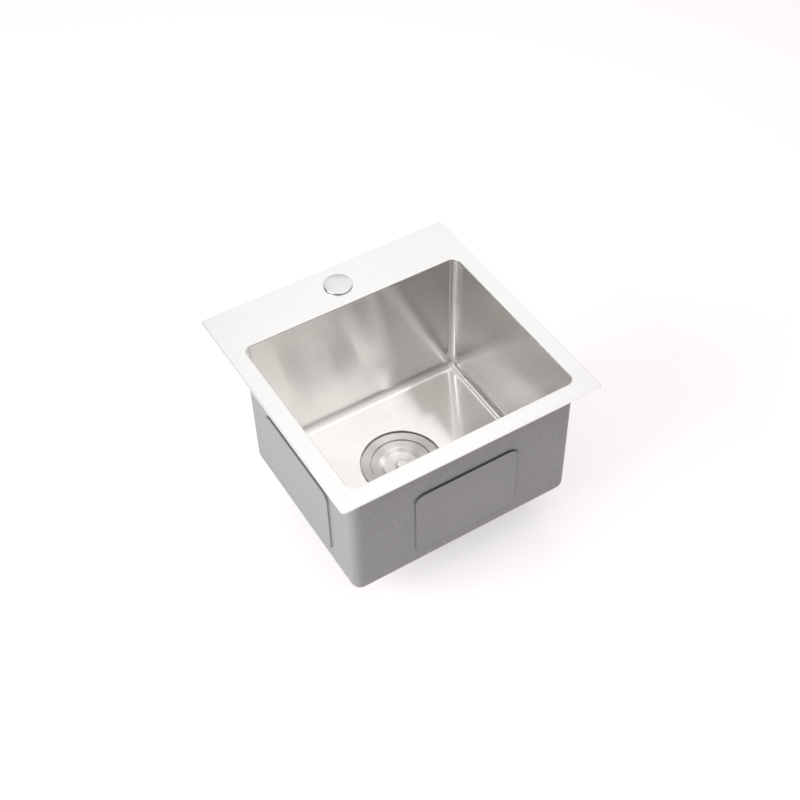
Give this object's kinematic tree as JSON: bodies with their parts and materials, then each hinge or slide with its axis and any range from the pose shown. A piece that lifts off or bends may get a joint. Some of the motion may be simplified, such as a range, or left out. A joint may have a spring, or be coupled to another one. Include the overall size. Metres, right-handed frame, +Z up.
{
  "type": "drop-in sink",
  "caption": "Square stainless drop-in bar sink with a flat rim, a tap ledge with a plugged tap hole, a deep sound-deadened bowl and a drain with a lift-out basket and lid.",
  "frame": {"origin": "middle of the rim on the worktop's surface, which is the underside of the rim's seal strip", "axes": "+X to the user's right, +Y towards the tap ledge at the back, +Z up out of the bowl"},
  "size_m": [0.381, 0.381, 0.2879],
  "materials": {
    "rim_steel": "fine straight brushed grain",
    "bowl_steel": "satin brushed grain",
    "drain_steel": "brushed in rings",
    "basket_steel": "pressed bright",
    "spring_steel": "rolled bare",
    "nut_zinc": "dull zinc, cast",
    "knob_chrome": "polished, turned",
    "cap_chrome": "polished satin",
    "sprayed_coat": "sprayed, fine speckle, matt",
    "pad_rubber": "matt sheet",
    "seal_foam": "closed-cell foam",
    "gasket_rubber": "moulded, matt",
    "washer_plastic": "natural, matt"
  },
  "bodies": {
    "sink": {"deck_plate": "rim_steel", "rim_seal": "seal_foam", "bowl": "bowl_steel", "undercoat": "sprayed_coat", "front_pad": "pad_rubber", "back_pad": "pad_rubber", "left_pad": "pad_rubber", "right_pad": "pad_rubber", "bottom_left_pad": "pad_rubber", "bottom_right_pad": "pad_rubber", "drain_body": "drain_steel", "drain_outlet": "drain_steel", "flange_seal": "gasket_rubber", "drain_gasket": "gasket_rubber"},
    "basket": {"waste_basket": "basket_steel", "basket_handle": "basket_steel"},
    "lid": {"drain_lid": "drain_steel", "lid_seal": "gasket_rubber", "lid_knob": "knob_chrome", "lid_screw": "basket_steel"},
    "plug": {"plug_cap": "cap_chrome", "plug_seal": "gasket_rubber", "plug_spring": "spring_steel"},
    "washer": {"friction_washer": "washer_plastic"},
    "nut": {"locknut": "nut_zinc"}
  },
  "joints": [
    {"name": "basket_lift", "type": "slide", "parent": "sink", "child": "basket", "axis": [0, 0, 1], "range_m": [0, 0.29]},
    {"name": "lid_lift", "type": "slide", "parent": "basket", "child": "lid", "axis": [0, 0, 1], "range_m": [0, 0.25]},
    {"name": "plug_lift", "type": "slide", "parent": "sink", "child": "plug", "axis": [0, 0, 1], "range_m": [0, 0.1]},
    {"name": "locknut_drop", "type": "slide", "parent": "sink", "child": "washer", "axis": [0, 0, -1], "range_m": [0, 0.024]},
    {"name": "locknut_turn", "type": "hinge", "parent": "washer", "child": "nut", "pos_m": [0, -0.007, -0.2272], "axis": [0, 0, -1], "range_deg": [0, 4410]}
  ],
  "couplings": [
    {"joint": "locknut_turn", "follows": "locknut_drop", "rad_per_m": 3141.6}
  ]
}
